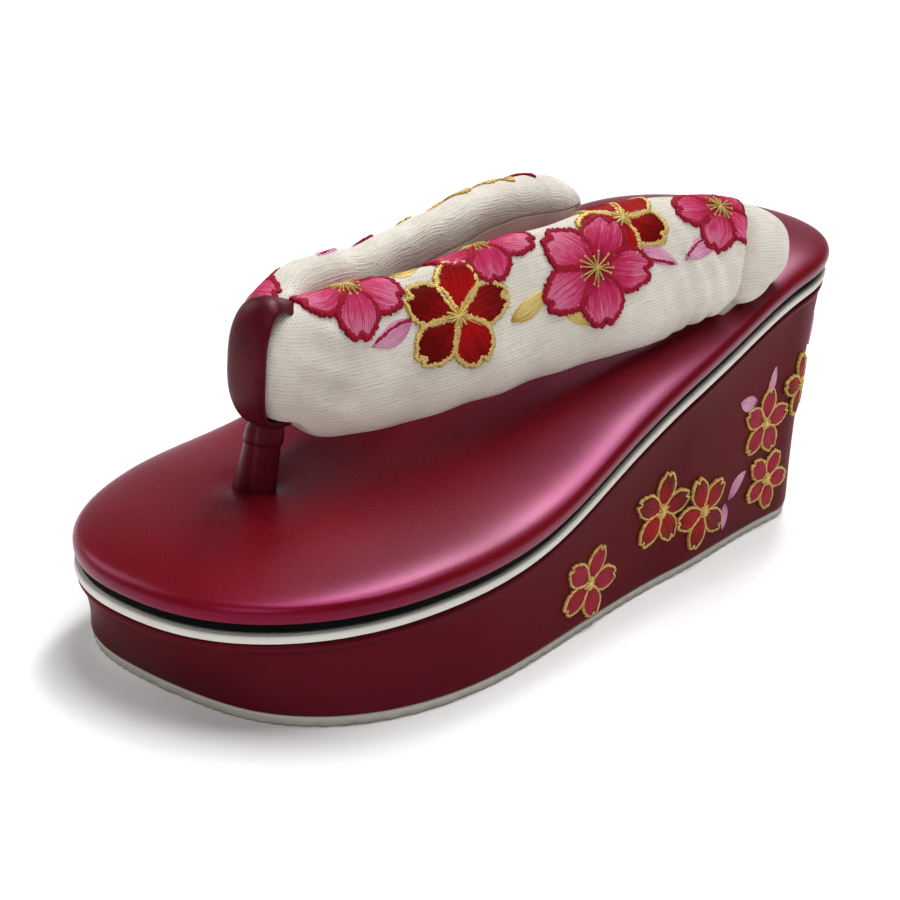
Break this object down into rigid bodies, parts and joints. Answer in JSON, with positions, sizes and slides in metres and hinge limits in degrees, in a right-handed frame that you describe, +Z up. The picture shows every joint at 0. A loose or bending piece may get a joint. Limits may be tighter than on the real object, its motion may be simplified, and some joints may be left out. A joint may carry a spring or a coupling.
{
  "type": "zori sandal",
  "caption": "Left zori sandal with a wave-shaped wedge sole, padded footbed and padded V strap held by a toe thong.",
  "frame": {"origin": "on the floor under the middle of the sandal's length and width", "axes": "+Z up, toe towards -Y, heel towards +Y, outer side of the left foot towards +X"},
  "size_m": [0.0948, 0.241, 0.0921],
  "materials": {
    "outsole_rubber": "matt, finely ribbed",
    "wedge_leather": "satin coated faux leather",
    "strip_white": "satin",
    "board_black": "gloss",
    "pad_leather": "pearl coated faux leather",
    "strap_cotton": "slub weave with silk embroidery",
    "thong_leather": "satin"
  },
  "bodies": {
    "root": {"outsole": "outsole_rubber", "wedge": "wedge_leather", "edge_strip": "strip_white", "insole_board": "board_black", "footbed_pad": "pad_leather", "strap": "strap_cotton", "toe_band": "thong_leather", "toe_stem": "thong_leather"}
  },
  "joints": []
}
